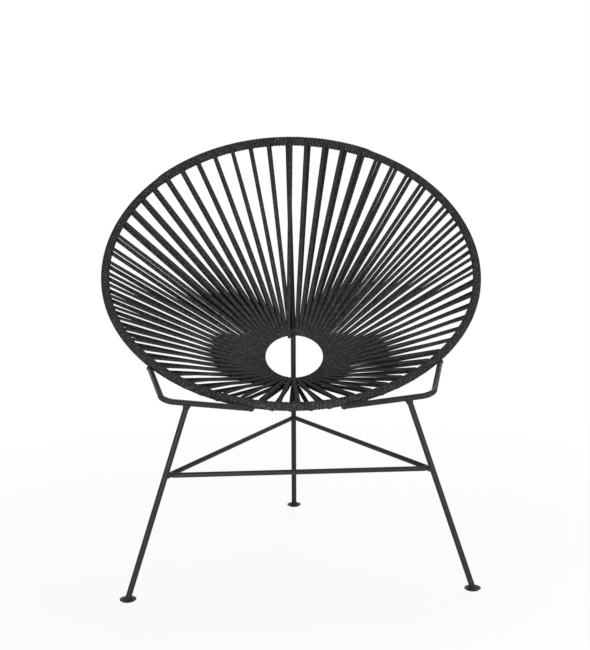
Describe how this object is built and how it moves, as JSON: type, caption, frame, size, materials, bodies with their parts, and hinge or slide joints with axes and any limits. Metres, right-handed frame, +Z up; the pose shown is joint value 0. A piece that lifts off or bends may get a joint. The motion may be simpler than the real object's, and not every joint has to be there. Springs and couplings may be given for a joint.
{
  "type": "acapulco lounge chair",
  "caption": "Low lounge chair with a sloped round hoop strung with black cord down to a small centre ring, on a welded rod frame with two front legs and a rear leg.",
  "frame": {"origin": "on the floor, under the middle of the chair's box", "axes": "+Z up, the chair faces -Y, +X to the right as seen from in front of the camera looking along +Y"},
  "size_m": [0.8014, 0.6936, 0.8427],
  "materials": {
    "powder_coat": "satin black powder coat",
    "seat_cord": "matte black braided synthetic cord",
    "glide_rubber": "matte"
  },
  "bodies": {
    "root": {"rim_hoop": "powder_coat", "centre_ring": "powder_coat", "bracket_left": "powder_coat", "bracket_right": "powder_coat", "front_leg_left": "powder_coat", "front_leg_right": "powder_coat", "rear_leg_spine": "powder_coat", "stretcher": "powder_coat", "foot_disc_left": "powder_coat", "foot_disc_right": "powder_coat", "foot_disc_rear": "powder_coat", "foot_glide_left": "glide_rubber", "foot_glide_right": "glide_rubber", "foot_glide_rear": "glide_rubber", "seat_cord_01": "seat_cord", "seat_cord_02": "seat_cord", "seat_cord_03": "seat_cord", "seat_cord_04": "seat_cord", "seat_cord_05": "seat_cord", "seat_cord_06": "seat_cord", "seat_cord_07": "seat_cord", "seat_cord_08": "seat_cord", "seat_cord_09": "seat_cord", "seat_cord_10": "seat_cord", "seat_cord_11": "seat_cord", "seat_cord_12": "seat_cord"}
  },
  "joints": []
}
